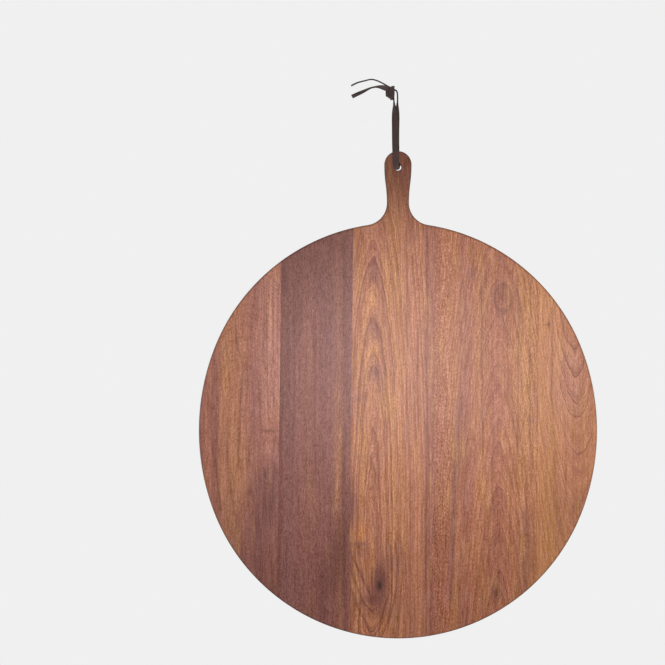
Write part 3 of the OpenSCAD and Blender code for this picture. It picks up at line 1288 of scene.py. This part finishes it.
@dataclass
class Thong:
    """The leather lace: its loop, its knot and its two ends."""

    lace_w: float = 7.6
    lace_t: float = 1.8
    turn_w: float = 4.4
    knot_turns: float = 2.9
    corner_power: float = 5.0
    section_points: int = 28
    step: float = 0.8
    smooth_to: float = 60.0
    stretch_points: int = 24
    least_points: int = 8
    edge_from: float = 0.86
    least_fold: float = 1e-3
    turn_points: int = 240
    turn_start: float = 0.1
    turn_fold: float = 0.12
    unevenness: float = 0.25
    slant_turns: float = 1.08
    slant_start: float = 0.25
    slant_fold: float = 0.1
    core_rings: int = 20
    core_columns: int = 24
    core_half: float = 4.8
    core_depth: float = 3.2
    core_blunt: float = 0.02
    leather: Leather = field(default_factory=Leather)

    # Shares of the way along the knot's turns, and X, half height, half depth and middle height there
    turn_x = ((0, 1), (-10.9, -3.4))
    turn_height = ((0, 0.4, 1), (4.3, 5.9, 8.2))
    turn_depth = ((0, 0.5, 1), (3.3, 3.7, 3.3))
    turn_middle = ((0, 0.4, 1), (-1.1, -1.6, -2.3))
    turn_across = (1.0, 0.0, 0.12)
    # The slanting turn's middle, its long direction, and its half length and half depth
    slant_middle = (-7.3, 0.0, -6.3)
    slant_along = (0.86, 0.0, -0.51)
    slant_half = (4.6, 4.1)
    # The core's X and its half height there, and X and Z of its middle
    core_height = ((-11.6, -6.5, -2.2), (4.6, 6.2, 8.2))
    core_middle = (-6.9, -2.0)

    # X, Y and Z, the turn about the vertical in degrees, and how far the lace is folded lengthwise
    loop_route = (
        (-2.6, 0, -9, 90, 0), (-2.5, -0.2, -13, 92, 0), (-2.3, -1.0, -17, 102, 0),
        (-2.1, -2.0, -21, 116, 0), (-1.9, -3.0, -26, 133, 0), (-1.6, -4.0, -32, 151, 0),
        (-1.4, -5.0, -39, 166, 0), (-1.3, -6.4, -50, 176, 0), (-1.2, -7.8, -61, 180, 0),
        (-1.0, -9.2, -71, 180, 0), (-0.8, -10.2, -78, 180, 0), (-0.5, -10.4, -83, 180, 0),
        (-0.2, -10.7, -87.5, 180, 0.15), (0.2, -11.1, -91.3, 180, 0.4), (0.6, -11.2, -95.0, 180, 0.7),
        (1.2, -9.9, -96.9, 180, 0.9), (1.9, -7.8, -95.9, 180, 1), (2.3, -4, -94.1, 180, 1),
        (2.5, 0, -93.7, 180, 1), (2.5, 7, -93.8, 180, 1), (2.4, 9.2, -93.7, 180, 0.9),
        (2.2, 10.4, -92.7, 180, 0.7),
        (1.8, 10.8, -90.6, 180, 0.45), (1.3, 10.5, -87.5, 180, 0.2), (1.0, 10.3, -83, 180, 0),
        (0.8, 10.2, -78, 180, 0), (0.7, 9.2, -71, 180, 0), (0.6, 7.8, -61, 180, 0),
        (0.6, 6.4, -50, 176, 0), (0.8, 5.0, -39, 166, 0), (1.1, 4.0, -32, 151, 0),
        (1.4, 3.0, -26, 133, 0), (1.7, 2.0, -21, 116, 0), (1.9, 1.0, -17, 102, 0),
        (2.1, 0.2, -13, 92, 0), (2.1, 0, -8, 90, 0), (2.0, 0, -4, 90, 0),
        (1.6, 0, -1.1, 90, 0), (0.7, 0, 0.7, 90, 0), (-0.8, 0, 1.6, 90, 0), (-3.2, 0, 2.6, 90, 0),
    )
    # The same for the two ends, whose turn is about X
    upper_tail_route = (
        (-6.5, 3.1, 5.0, 0, 0), (-9.9, 3.1, 6.6, 0, 0), (-14.5, 3.0, 9.3, 2, 0), (-19.8, 2.8, 12.1, 4, 0),
        (-25.4, 2.4, 14.3, 5, 0), (-31.1, 2.0, 15.2, 4, 0), (-38.9, 1.5, 13.5, 2, 0),
        (-48.3, 1.2, 10.9, 0, 0), (-55.8, 1.0, 7.2, -4, 0),
    )
    lower_tail_route = (
        (-9.0, -3.1, 2.6, 66, 0), (-12.4, -3.1, 3.7, 60, 0), (-16.0, -3.0, 4.8, 48, 0),
        (-20.5, -2.7, 5.6, 28, 0), (-25.4, -2.4, 5.6, 12, 0), (-31.4, -2.0, 4.3, 10, 0),
        (-36.8, -1.6, 1.9, 20, 0), (-42.0, -1.3, -0.6, 30, 0), (-48.3, -1.1, -3.4, 36, 0),
        (-55.0, -1.0, -6.6, 38, 0),
    )

    def _along(self, route: Sequence[Sequence[float]]) -> np.ndarray:
        """Points at even steps on a Catmull-Rom curve through the route, with their turn and fold.

        On each stretch the curve is a cubic in t whose slope at a point is half the way from the
        point before to the point after.

        Args:
            route: The route's points.

        Returns:
            The route's numbers at each step.
        """
        knots = np.array(route, dtype=float)
        padded = np.vstack([2 * knots[0] - knots[1], knots, 2 * knots[-1] - knots[-2]])
        p0, p1, p2, p3 = padded[:-3], padded[1:-2], padded[2:-1], padded[3:]
        t = np.linspace(0, 1, self.stretch_points, endpoint=False)[None, :, None]
        a, b, c, d = (p[:, None, :] for p in (p0, p1, p2, p3))
        dense = 0.5 * (
            2 * b + (c - a) * t + (2 * a - 5 * b + 4 * c - d) * t**2 + (3 * b - a - 3 * c + d) * t**3
        )
        dense = np.vstack([dense.reshape(-1, knots.shape[1]), knots[-1]])
        reach = np.concatenate([[0], np.cumsum(np.linalg.norm(np.diff(dense[:, :3], axis=0), axis=1))])
        count = max(int(reach[-1] / self.step), self.least_points)
        at = np.linspace(0, reach[-1], count)
        return np.stack([np.interp(at, reach, dense[:, k]) for k in range(dense.shape[1])], axis=-1)

    def _section(self, fold: np.ndarray, lace_w: float) -> tuple[np.ndarray, np.ndarray, np.ndarray]:
        """The lace's section at each fold: a rounded rectangle bent round an arc.

        Across it runs s along the width and n through the thickness, both from a superellipse. A
        fold of 1 bends the width by half a turn.

        Args:
            fold: How far the lace is folded at each place.
            lace_w: Its width.

        Returns:
            The place across, the place through, and how near each point is to a cut edge.
        """
        turn = np.linspace(0, 2 * math.pi, self.section_points, endpoint=False)
        power = 2 / self.corner_power
        s = lace_w / 2 * np.sign(np.cos(turn)) * np.abs(np.cos(turn)) ** power
        n = self.lace_t / 2 * np.sign(np.sin(turn)) * np.abs(np.sin(turn)) ** power
        edge = np.clip((np.abs(s) / (lace_w / 2) - self.edge_from) / (1 - self.edge_from), 0, 1)
        bend = np.maximum(fold, self.least_fold)[:, None] * math.pi
        radius = lace_w / bend
        angle = s[None, :] / radius
        across = (radius + n[None, :]) * np.sin(angle)
        through = (radius + n[None, :]) * np.cos(angle) - radius
        through = through + radius * (1 - np.cos(bend / 2)) / 2
        return across, through, edge

    def _sweep(
        self, skin: Skin, place: np.ndarray, wanted: np.ndarray, fold: np.ndarray, lace_w: float
    ) -> None:
        """Add a stretch of lace to a skin.

        The section stands square to the way, its width as near to the wanted direction as that allows.

        Args:
            skin: The skin that grows.
            place: Points on the way.
            wanted: The width's direction at each.
            fold: How far the lace is folded at each.
            lace_w: The lace's width, which is less where it is drawn tight.
        """
        heading = np.gradient(place, axis=0)
        heading /= np.linalg.norm(heading, axis=1, keepdims=True)
        width_dir = wanted - (wanted * heading).sum(axis=1, keepdims=True) * heading
        width_dir /= np.linalg.norm(width_dir, axis=1, keepdims=True)
        face_dir = np.cross(width_dir, heading)
        across, through, edge = self._section(fold, lace_w)
        rings = (
            place[:, None, :]
            + across[:, :, None] * width_dir[:, None, :]
            + through[:, :, None] * face_dir[:, None, :]
        )
        skin.grid(rings[:, ::-1], edge[::-1])
        skin.cap(rings[0], turned=False, mark=1.0)
        skin.cap(rings[-1], turned=True, mark=1.0)

    def _ribbon(
        self, name: str, route: Sequence[Sequence[float]], about_x: bool
    ) -> tuple[bpy.types.Object, np.ndarray]:
        """Lay the lace along a route.

        Args:
            name: The piece's name.
            route: The route's points.
            about_x: Whether the turn is about X rather than the vertical.

        Returns:
            The piece, and the points of its middle line in metres.
        """
        line = self._along(route)
        place, turn, fold = line[:, :3], np.radians(line[:, 3]), line[:, 4]
        wanted = np.stack([np.cos(turn), np.sin(turn), np.zeros_like(turn)], axis=-1)
        if about_x:
            wanted = np.roll(wanted, 1, axis=1)
        skin = Skin()
        self._sweep(skin, place, wanted, fold, self.lace_w)
        return self._dressed(name, skin), place * METRES

    def _dressed(self, name: str, skin: Skin) -> bpy.types.Object:
        """Make a piece of lace from its skin and let it take its node's place."""
        piece = shown(name, skin.mesh(name, "cut_edge"), self.material, self.smooth_to)
        fitted(piece, name.replace("lace", "thong").replace("_end", "_tail"), "thong")
        return piece

    def build(self) -> None:
        self.material = self.leather.material()
        knot = self._knot()
        for name, route, about_x, far_end in (
            ("lace_loop", self.loop_route, False, "knot"),
            ("lace_upper_end", self.upper_tail_route, True, "bare"),
            ("lace_lower_end", self.lower_tail_route, True, "bare"),
        ):
            piece, line = self._ribbon(name, route, about_x)

    def _knot(self) -> bpy.types.Object:
        """The knot: a core, three drawn-up turns round it and a slanting turn over its lower left.

        A turn runs round X as an ellipse of angle a: Y is depth times sin(a) and Z is height times
        cos(a), while X, the depth, the height and the middle change evenly from turn to turn.

        Returns:
            The piece.
        """
        skin = Skin()
        t = np.linspace(0, 1, self.turn_points)
        angle = 2 * math.pi * (self.knot_turns * t + self.turn_start)
        x = np.interp(t, *self.turn_x) + self.unevenness * np.sin(2.3 * angle)
        height = np.interp(t, *self.turn_height) + self.unevenness * np.sin(1.7 * angle)
        depth = np.interp(t, *self.turn_depth)
        middle = np.interp(t, *self.turn_middle)
        place = np.stack([x, depth * np.sin(angle), middle + height * np.cos(angle)], axis=-1)
        wanted = np.tile(self.turn_across, (len(t), 1))
        self._sweep(skin, place, wanted, np.full(len(t), self.turn_fold), self.turn_w)

        t = np.linspace(0, 1, self.turn_points // 2)
        angle = 2 * math.pi * (self.slant_turns * t + self.slant_start)
        along, lean = self.slant_along, self.slant_half
        place = np.array(self.slant_middle) + lean[0] * np.cos(angle)[:, None] * np.array(along)
        place = place + np.stack([0 * t, lean[1] * np.sin(angle), 0 * t], axis=-1)
        wanted = np.tile((-along[2], 0.0, along[0]), (len(t), 1))
        self._sweep(skin, place, wanted, np.full(len(t), self.slant_fold), self.turn_w)

        x = np.linspace(self.core_height[0][0], self.core_height[0][-1], self.core_rings)[:, None]
        a = np.linspace(0, 2 * math.pi, self.core_columns, endpoint=False)[None, :]
        off = (x - self.core_middle[0]) / self.core_half
        round_off = np.clip(1 - off**2, self.core_blunt, 1) ** 0.25
        deep, tall = self.core_depth * round_off, np.interp(x, *self.core_height) * round_off
        core = np.stack([x + 0 * a, deep * np.sin(a), self.core_middle[1] + tall * np.cos(a)], axis=-1)
        skin.grid(core)
        skin.cap(core[0], turned=True)
        skin.cap(core[-1], turned=False)
        return self._dressed("lace_knot", skin)


@dataclass(frozen=True)
class Studio:
    """The camera, the lamps, the pale background and the floor."""

    picture_px: float = 665.0
    mm_per_px: float = 1.25
    origin_px: tuple[float, float] = (396.0, 91.0)
    lens_mm: float = 200.0
    sensor_mm: float = 36.0
    far_clip_m: float = 50.0
    front_y: float = -9.0
    background: Colour = srgb(240, 240, 240)
    floor_z: float = -800.0
    floor_half: float = 850.0
    floor_points: int = 9
    floor_roughness: float = 0.8
    floor_specular: float = 0.2
    floor_glow: float = 0.88
    sky: Colour = (1.0, 0.82, 0.72)
    sky_strength: float = 0.2

    def build(self) -> None:
        """Put everything in the scene."""
        self._camera()
        self._world()
        self._floor()
        self._lamp("key_lamp", (45, -430, -340), (45, 0, -340), (360, 220), 2.0)
        self._lamp("back_lamp", (0, 430, -340), (0, 0, -340), (480, 300), 2.0)
        self._lamp("left_lamp", (-840, 0, -400), (0, 0, -400), (200, 500), 1.8)
        self._lamp("right_lamp", (840, 0, -400), (0, 0, -400), (200, 500), 1.8)
        self._lamp("top_lamp", (0, 0, 330), (0, 0, 0), (400, 200), 0.7)
        bpy.context.scene.view_settings.view_transform = "Standard"

    def _camera(self) -> None:
        """A long lens straight in front, so that the picture's scale holds on the front face."""
        data = bpy.data.cameras.new("camera")
        data.lens = self.lens_mm
        data.sensor_width = self.sensor_mm
        data.clip_end = self.far_clip_m
        away = self.picture_px * self.mm_per_px * self.lens_mm / self.sensor_mm
        x = (self.picture_px / 2 - self.origin_px[0]) * self.mm_per_px
        z = (self.origin_px[1] - self.picture_px / 2) * self.mm_per_px
        camera = linked("camera", data)
        camera.location = (x * METRES, (self.front_y - away) * METRES, z * METRES)
        camera.rotation_euler = (math.pi / 2, 0, 0)
        bpy.context.scene.camera = camera

    def _world(self) -> None:
        """Even light from all round, and the pale background where the camera looks."""
        world = bpy.data.worlds.new("pale_studio")
        world.use_nodes = True
        bpy.context.scene.world = world
        nodes = Nodes(world.node_tree)
        seen = nodes.node("ShaderNodeLightPath", None, None, "Is Camera Ray")
        rays = seen.socket.node.outputs
        for ray in ("Is Glossy Ray", "Is Transmission Ray"):
            seen = nodes.maths("MAXIMUM", seen, Value(nodes, rays[ray]))
        light = nodes.node("ShaderNodeBackground", None, {"Color": self.sky, "Strength": self.sky_strength})
        back = nodes.node("ShaderNodeBackground", None, {"Color": self.background, "Strength": 1.0})
        output = nodes.tree.nodes.new("ShaderNodeOutputWorld")
        mixed = nodes.node("ShaderNodeMixShader", None, {0: seen, 1: light, 2: back})
        nodes.put(output.inputs["Surface"], mixed)

    def _floor(self) -> None:
        """A pale floor below the board, out of the camera's view."""
        skin = Skin()
        side = np.linspace(-self.floor_half, self.floor_half, self.floor_points)
        x, y = np.meshgrid(side, side)
        skin.grid(np.stack([x, y, np.full_like(x, self.floor_z)], axis=-1), ring=False)
        shader = Shader("pale_floor")
        shader.paint(self.background)
        shader.gloss(self.floor_roughness, self.floor_specular)
        rays = shader.node("ShaderNodeLightPath", None, None, "Is Camera Ray")
        shader.glow(self.background, rays * self.floor_glow)
        shown("floor", skin.mesh("floor"), shader.material)

    def _lamp(self, name: str, place: Point, aim: Point, size: Span, watts: float) -> None:
        """A soft lamp.

        Args:
            name: The lamp's name.
            place: Where it stands.
            aim: What it points at.
            size: Its width and height.
            watts: Its power.
        """
        data = bpy.data.lights.new(name, "AREA")
        data.shape = "RECTANGLE"
        data.size, data.size_y = (side * METRES for side in size)
        data.energy = watts
        lamp = linked(name, data)
        lamp.location = [value * METRES for value in place]
        lamp.rotation_euler = (Vector(aim) - Vector(place)).to_track_quat("-Z", "Y").to_euler()
        lamp.visible_camera = False


GOLD, PURPLE, DARK, SHEER, AMBER = Tone
STAVE_1 = Walnut(
    colour=srgb(167, 110, 96), heart_x=-188.0, heart_depth=30.0, taper=0.05, bow=5.0, bow_z=-600.0,
    ring_w=4.2, ring_strength=0.3, sway=1.4, grit=1.3, hue_play=0.3, seed=11.0,
    bands=rows(
        Band,
        (-245, PURPLE, 0.35), (-232, GOLD, 0.1), (-226, PURPLE, 0.22), (-219, GOLD, 0.3), (-203, GOLD, 0.35),
        (-194, GOLD, 0.2), (-176, PURPLE, 0.25), (-165, PURPLE, 0.2), (-157, GOLD, 0.1), (-150, PURPLE, 0.1),
    ),
    streaks=rows(
        Streak,
        (
            (
                (-203, -270), (-201, -290), (-198, -321), (-191, -344), (-193, -377), (-196, -425),
                (-198, -470),
            ), 1.3, DARK, 0.45,
        ),
        (((-213, -300), (-210, -345), (-206, -380), (-209, -440)), 1.4, DARK, 0.25),
        (((-182, -330), (-179, -390), (-186, -470)), 2.0, PURPLE, 0.35),
        (((-222, -330), (-225, -400), (-221, -500)), 2.4, DARK, 0.2),
        (((-229, -360), (-231, -430), (-225, -470), (-217, -540)), 1.6, DARK, 0.35),
        (((-236, -380), (-238, -450), (-234, -510)), 1.2, GOLD, 0.25),
        (((-156, -225), (-157, -300), (-155, -400)), 1.0, SHEER, 0.6),
        (((-150, -220), (-150, -290), (-149, -400)), 1.0, SHEER, 0.6),
        (((-146, -220), (-146, -290), (-146, -400)), 0.9, SHEER, 0.5),
        (((-153, -230), (-153, -300), (-152, -400)), 0.8, DARK, 0.3),
        (((-162, -240), (-161, -330), (-160, -420)), 0.9, DARK, 0.3),
        (((-212, -440), (-206, -500), (-196, -560)), 1.4, DARK, 0.35),
    ),
    patches=rows(
        Patch,
        (-187, -455, 12, 36, GOLD, 0.2), (-208, -350, 9, 60, GOLD, 0.25), (-184, -503, 5, 6, DARK, 0.45, 0.5),
        (-225, -420, 5, 70, PURPLE, 0.15), (-205, -545, 8, 30, GOLD, 0.3),
        (-158, -425, 9, 2.2, DARK, 0.75, -0.2), (-150, -437, 4, 8, DARK, 0.45),
        (-158, -482, 15, 24, PURPLE, 0.75, 0.5), (-162, -484, 10, 16, DARK, 0.25, 0.5),
        (-152, -512, 24, 46, PURPLE, 0.85, 0.5), (-158, -520, 18, 28, DARK, 0.35, 0.5),
        # The large dark and purple patches low down darken the stave towards its bottom: partly the wood,
        # partly painted shade where the light falls off
        (-165, -640, 50, 70, DARK, 0.65), (-185, -580, 60, 70, PURPLE, 0.5), (-157, -330, 13, 90, SHEER, 0.5),
        (-196, -485, 6, 34, GOLD, 0.2, -0.4),
    ),
)
STAVE_2 = Walnut(
    colour=srgb(136, 88, 80), heart_x=-500.0, heart_depth=60.0, taper=0.01, ring_strength=0.25,
    sway=0.7, grit=1.5, fibre_l=7.0, hue_play=0.1, seed=23.0,
    bands=rows(
        Band,
        (-146, DARK, 0.4), (-138, PURPLE, 0.5), (-122, PURPLE, 0.15), (-110, GOLD, 0.08), (-95, PURPLE, 0.05),
        (-82, PURPLE, 0.15), (-71, GOLD, 0.2), (-64, DARK, 0.25), (-56, PURPLE, 0.3),
    ),
    streaks=rows(
        Streak,
        (((-69, -420), (-72, -470), (-76, -530)), 2.2, GOLD, 0.3),
        (((-63, -420), (-66, -520), (-64, -640)), 2.4, DARK, 0.35),
        (((-128, -230), (-127, -330), (-129, -440)), 1.4, DARK, 0.3),
        (((-100, -300), (-101, -400), (-99, -520)), 1.4, DARK, 0.2),
        (((-113, -260), (-112, -420), (-114, -600)), 1.2, DARK, 0.2),
    ),
    patches=rows(
        Patch,
        (-76, -585, 17, 65, DARK, 0.6, 1.0), (-120, -620, 40, 50, PURPLE, 0.4),
        (-80, -320, 10, 45, PURPLE, 0.35), (-138, -240, 12, 70, DARK, 0.25),
        (-100, -190, 80, 90, PURPLE, 0.5), (-100, -170, 80, 85, DARK, 0.42),
    ),
)
STAVE_3 = Walnut(
    colour=srgb(184, 123, 94), heart_x=-29.0, heart_depth=30.0, taper=0.0, bow=1.25, bow_z=-585.0,
    roundness=1.7, ring_w=4.3, ring_strength=0.7, peak_strength=0.95, ragged=0.5, sway=0.8, grit=1.25,
    seed=37.0,
    bands=rows(
        Band,
        (-58, PURPLE, 0.4), (-50, GOLD, 0.3), (-25, PURPLE, 0.1), (-8, GOLD, 0.3), (8, GOLD, 0.15),
        (20, PURPLE, 0.15), (30, GOLD, 0.15), (40, PURPLE, 0.35),
    ),
    streaks=rows(
        Streak,
        (((-56, -564), (-48, -569), (-38, -576)), 4.0, DARK, 0.5),
        (((-56, -580), (-46, -600), (-38, -618), (-31, -632)), 1.8, DARK, 0.8),
        (((-56, -600), (-47, -622), (-39, -640), (-26, -654)), 1.6, DARK, 0.75),
        (((-56, -620), (-48, -645), (-38, -664), (-30, -682)), 1.4, DARK, 0.65),
        (((-11, -560), (-5, -590), (-7, -620), (-15, -648), (-23, -684)), 1.6, DARK, 0.7),
        (((-4, -560), (2, -590), (0, -625), (-7, -655), (-12, -684)), 1.4, DARK, 0.55),
        (((3, -555), (8, -590), (6, -630), (0, -684)), 1.2, DARK, 0.45),
        (((-50, -608), (-41, -632), (-30, -648)), 1.4, GOLD, 0.7),
        (((-6, -600), (-10, -640), (-19, -670)), 1.8, AMBER, 0.4),
        (((-30, -560), (-31, -590), (-37, -622)), 3.0, AMBER, 0.45),
        (((28, -290), (27, -360), (29, -430)), 1.2, DARK, 0.6),
        (((38, -150), (39, -400), (36, -640)), 1.6, DARK, 0.5),
        (((12, -170), (14, -300), (12, -460)), 1.4, DARK, 0.35),
    ),
    patches=rows(
        Patch,
        (-28, -226, 7, 16, PURPLE, 0.6), (-28, -299, 9, 16, PURPLE, 0.6), (-27, -352, 9, 11, PURPLE, 0.6),
        (-27, -256, 6, 12, GOLD, 0.4), (-26, -327, 8, 9, GOLD, 0.5), (-48, -385, 8, 6, PURPLE, 0.5, 0.6),
        (-46, -553, 11, 15, AMBER, 0.75), (-44, -566, 9, 4, PURPLE, 0.7, -0.4),
        (-57, -518, 8, 26, PURPLE, 0.95), (-58, -518, 5, 20, DARK, 0.3), (-3, -587, 10, 13, PURPLE, 0.4),
        (-40, -461, 10, 12, PURPLE, 0.35), (-21, -613, 5.5, 12, DARK, 0.7), (-21, -615, 10, 18, DARK, 0.3),
        (-56, -590, 6, 55, DARK, 0.4), (-20, -612, 12, 24, PURPLE, 0.8), (-28, -668, 26, 14, AMBER, 0.35),
        (-33, -636, 12, 7, DARK, 0.85, 0.6), (-20, -618, 10, 20, DARK, 0.6), (-18, -640, 20, 14, PURPLE, 0.5),
        (-1, -150, 9, 34, GOLD, 0.5), (-16, -655, 22, 10, DARK, 0.3), (-38, -470, 9, 50, GOLD, 0.45),
        (-36, -300, 7, 60, GOLD, 0.35), (0, -480, 12, 90, GOLD, 0.35), (0, -250, 14, 60, GOLD, 0.3),
        # The large dark patch at z -90 darkens the handle towards its top: partly darker wood, partly painted
        # shade where the light falls off
        (-46, -578, 10, 4, PURPLE, 0.5, -0.5), (2.5, -90, 60, 75, DARK, 0.82),
    ),
    swirls=rows(
        Swirl,
        (-20.5, -618, 13, 22, -5.0, 0.98, 2.7), (-24, -700, 24, 48, 8.0), (-60, -625, 22, 35, 9.0),
    ),
    peaks=rows(
        Peak,
        (-207, 0.95, 22, 4, 0.55), (-281, 1.0, 22, 4, 0.55), (-341, 1.0, 16, 4, 0.55), (-410, 0.6),
        (-457, 0.8), (-489, 0.7), (-530, 0.7),
    ),
)
STAVE_4 = Walnut(
    colour=srgb(168, 107, 80), heart_x=128.0, heart_depth=50.0, taper=0.13, roundness=1.6, ring_w=3.4,
    ring_strength=0.6, peak_strength=0.4, speckle_x=57.0, speckle_half_w=14.0, grit=1.45, seed=51.0,
    bands=rows(
        Band,
        (44, PURPLE, 0.35), (58, GOLD, 0.1), (74, GOLD, 0.25), (84, PURPLE, 0.25), (90, PURPLE, 0.18),
        (96, GOLD, 0.1), (104, GOLD, 0.3), (122, PURPLE, 0.1), (140, GOLD, 0.1), (160, GOLD, 0.45),
        (176, GOLD, 0.35),
    ),
    streaks=rows(
        Streak,
        (((80, -380), (75, -450), (71, -540), (67, -650)), 4.5, PURPLE, 0.6),
        (((180, -520), (181, -600), (180, -650)), 1.4, DARK, 0.6),
        (((108, -200), (107, -330), (110, -480)), 1.2, DARK, 0.4),
        (((152, -230), (153, -350), (150, -500)), 1.2, DARK, 0.35),
        (((168, -230), (167, -350), (169, -500)), 1.2, DARK, 0.35),
        (((160, -520), (162, -580), (158, -640)), 7.0, PURPLE, 0.45),
    ),
    patches=rows(
        Patch,
        (134, -259, 10.5, 17, DARK, 0.5, 0.0, 0.17), (134, -259, 8, 14, DARK, 0.16),
        (129, -259, 1.0, 11, DARK, 0.4), (134, -257, 1.0, 13, DARK, 0.4), (139, -260, 1.0, 11, DARK, 0.4),
        (170, -411, 5.5, 4.5, PURPLE, 0.6), (165, -368, 14, 3, DARK, 0.25), (165, -320, 16, 60, GOLD, 0.4),
        (164, -440, 14, 60, GOLD, 0.3), (126, -625, 7, 13, PURPLE, 0.7), (126, -627, 3.6, 6, DARK, 0.95),
        (118, -523, 3, 4, DARK, 0.5), (96, -228, 6, 8, PURPLE, 0.5),
    ),
    swirls=rows(Swirl, (134, -258, 9, 14, -12.0)),
    peaks=rows(Peak, (-334, 0.8), (-360, 0.9), (-440, 0.6), (-499, 0.7), (-551, 0.9), (-600, 0.7)),
)
STAVE_5 = Walnut(
    colour=srgb(190, 129, 93), heart_x=227.0, heart_depth=44.0, taper=-0.11, heart_lean=-0.04, ring_w=3.6,
    ring_strength=0.36, peak_strength=0.95, ragged=0.5, grit=0.95, seed=67.0,
    bands=rows(
        Band,
        (178, GOLD, 0.3), (196, GOLD, 0.35), (212, PURPLE, 0.1), (232, PURPLE, 0.1), (248, GOLD, 0.1),
    ),
    streaks=rows(Streak, (((196, -260), (195, -360), (199, -480)), 1.4, DARK, 0.3)),
    patches=rows(
        Patch,
        (228, -518, 5, 7, DARK, 0.5), (200, -600, 14, 50, GOLD, 0.3), (208, -530, 40, 70, DARK, 0.12),
        # The pale patches round z -360 are painted sheen, which greys and lightens the middle of the stave
        (191, -292, 2.4, 3, DARK, 0.8), (214, -360, 26, 60, SHEER, 0.4), (222, -340, 12, 14, SHEER, 0.4),
        (224, -376, 11, 10, SHEER, 0.4), (226, -432, 11, 16, GOLD, 0.3),
    ),
    peaks=rows(
        Peak,
        (-322, 0.9, 8, 1.6, 0.25), (-356, 1.0, 8, 1.6, 0.25), (-386, 1.0, 8, 1.6, 0.25),
        (-410, 1.0, 8, 1.6, 0.25), (-455, 1.0, 8, 1.6, 0.25), (-530, 0.6, 8, 1.6, 0.25),
    ),
)


def main() -> None:
    """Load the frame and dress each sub-assembly."""
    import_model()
    Studio().build()
    LOG.info("studio built")
    Thong().build()
    LOG.info("thong built")
    Board(woods=(STAVE_1, STAVE_2, STAVE_3, STAVE_4, STAVE_5)).build()
    LOG.info("board built")


if __name__ == "__main__":
    logging.basicConfig(level=logging.INFO)
    main()
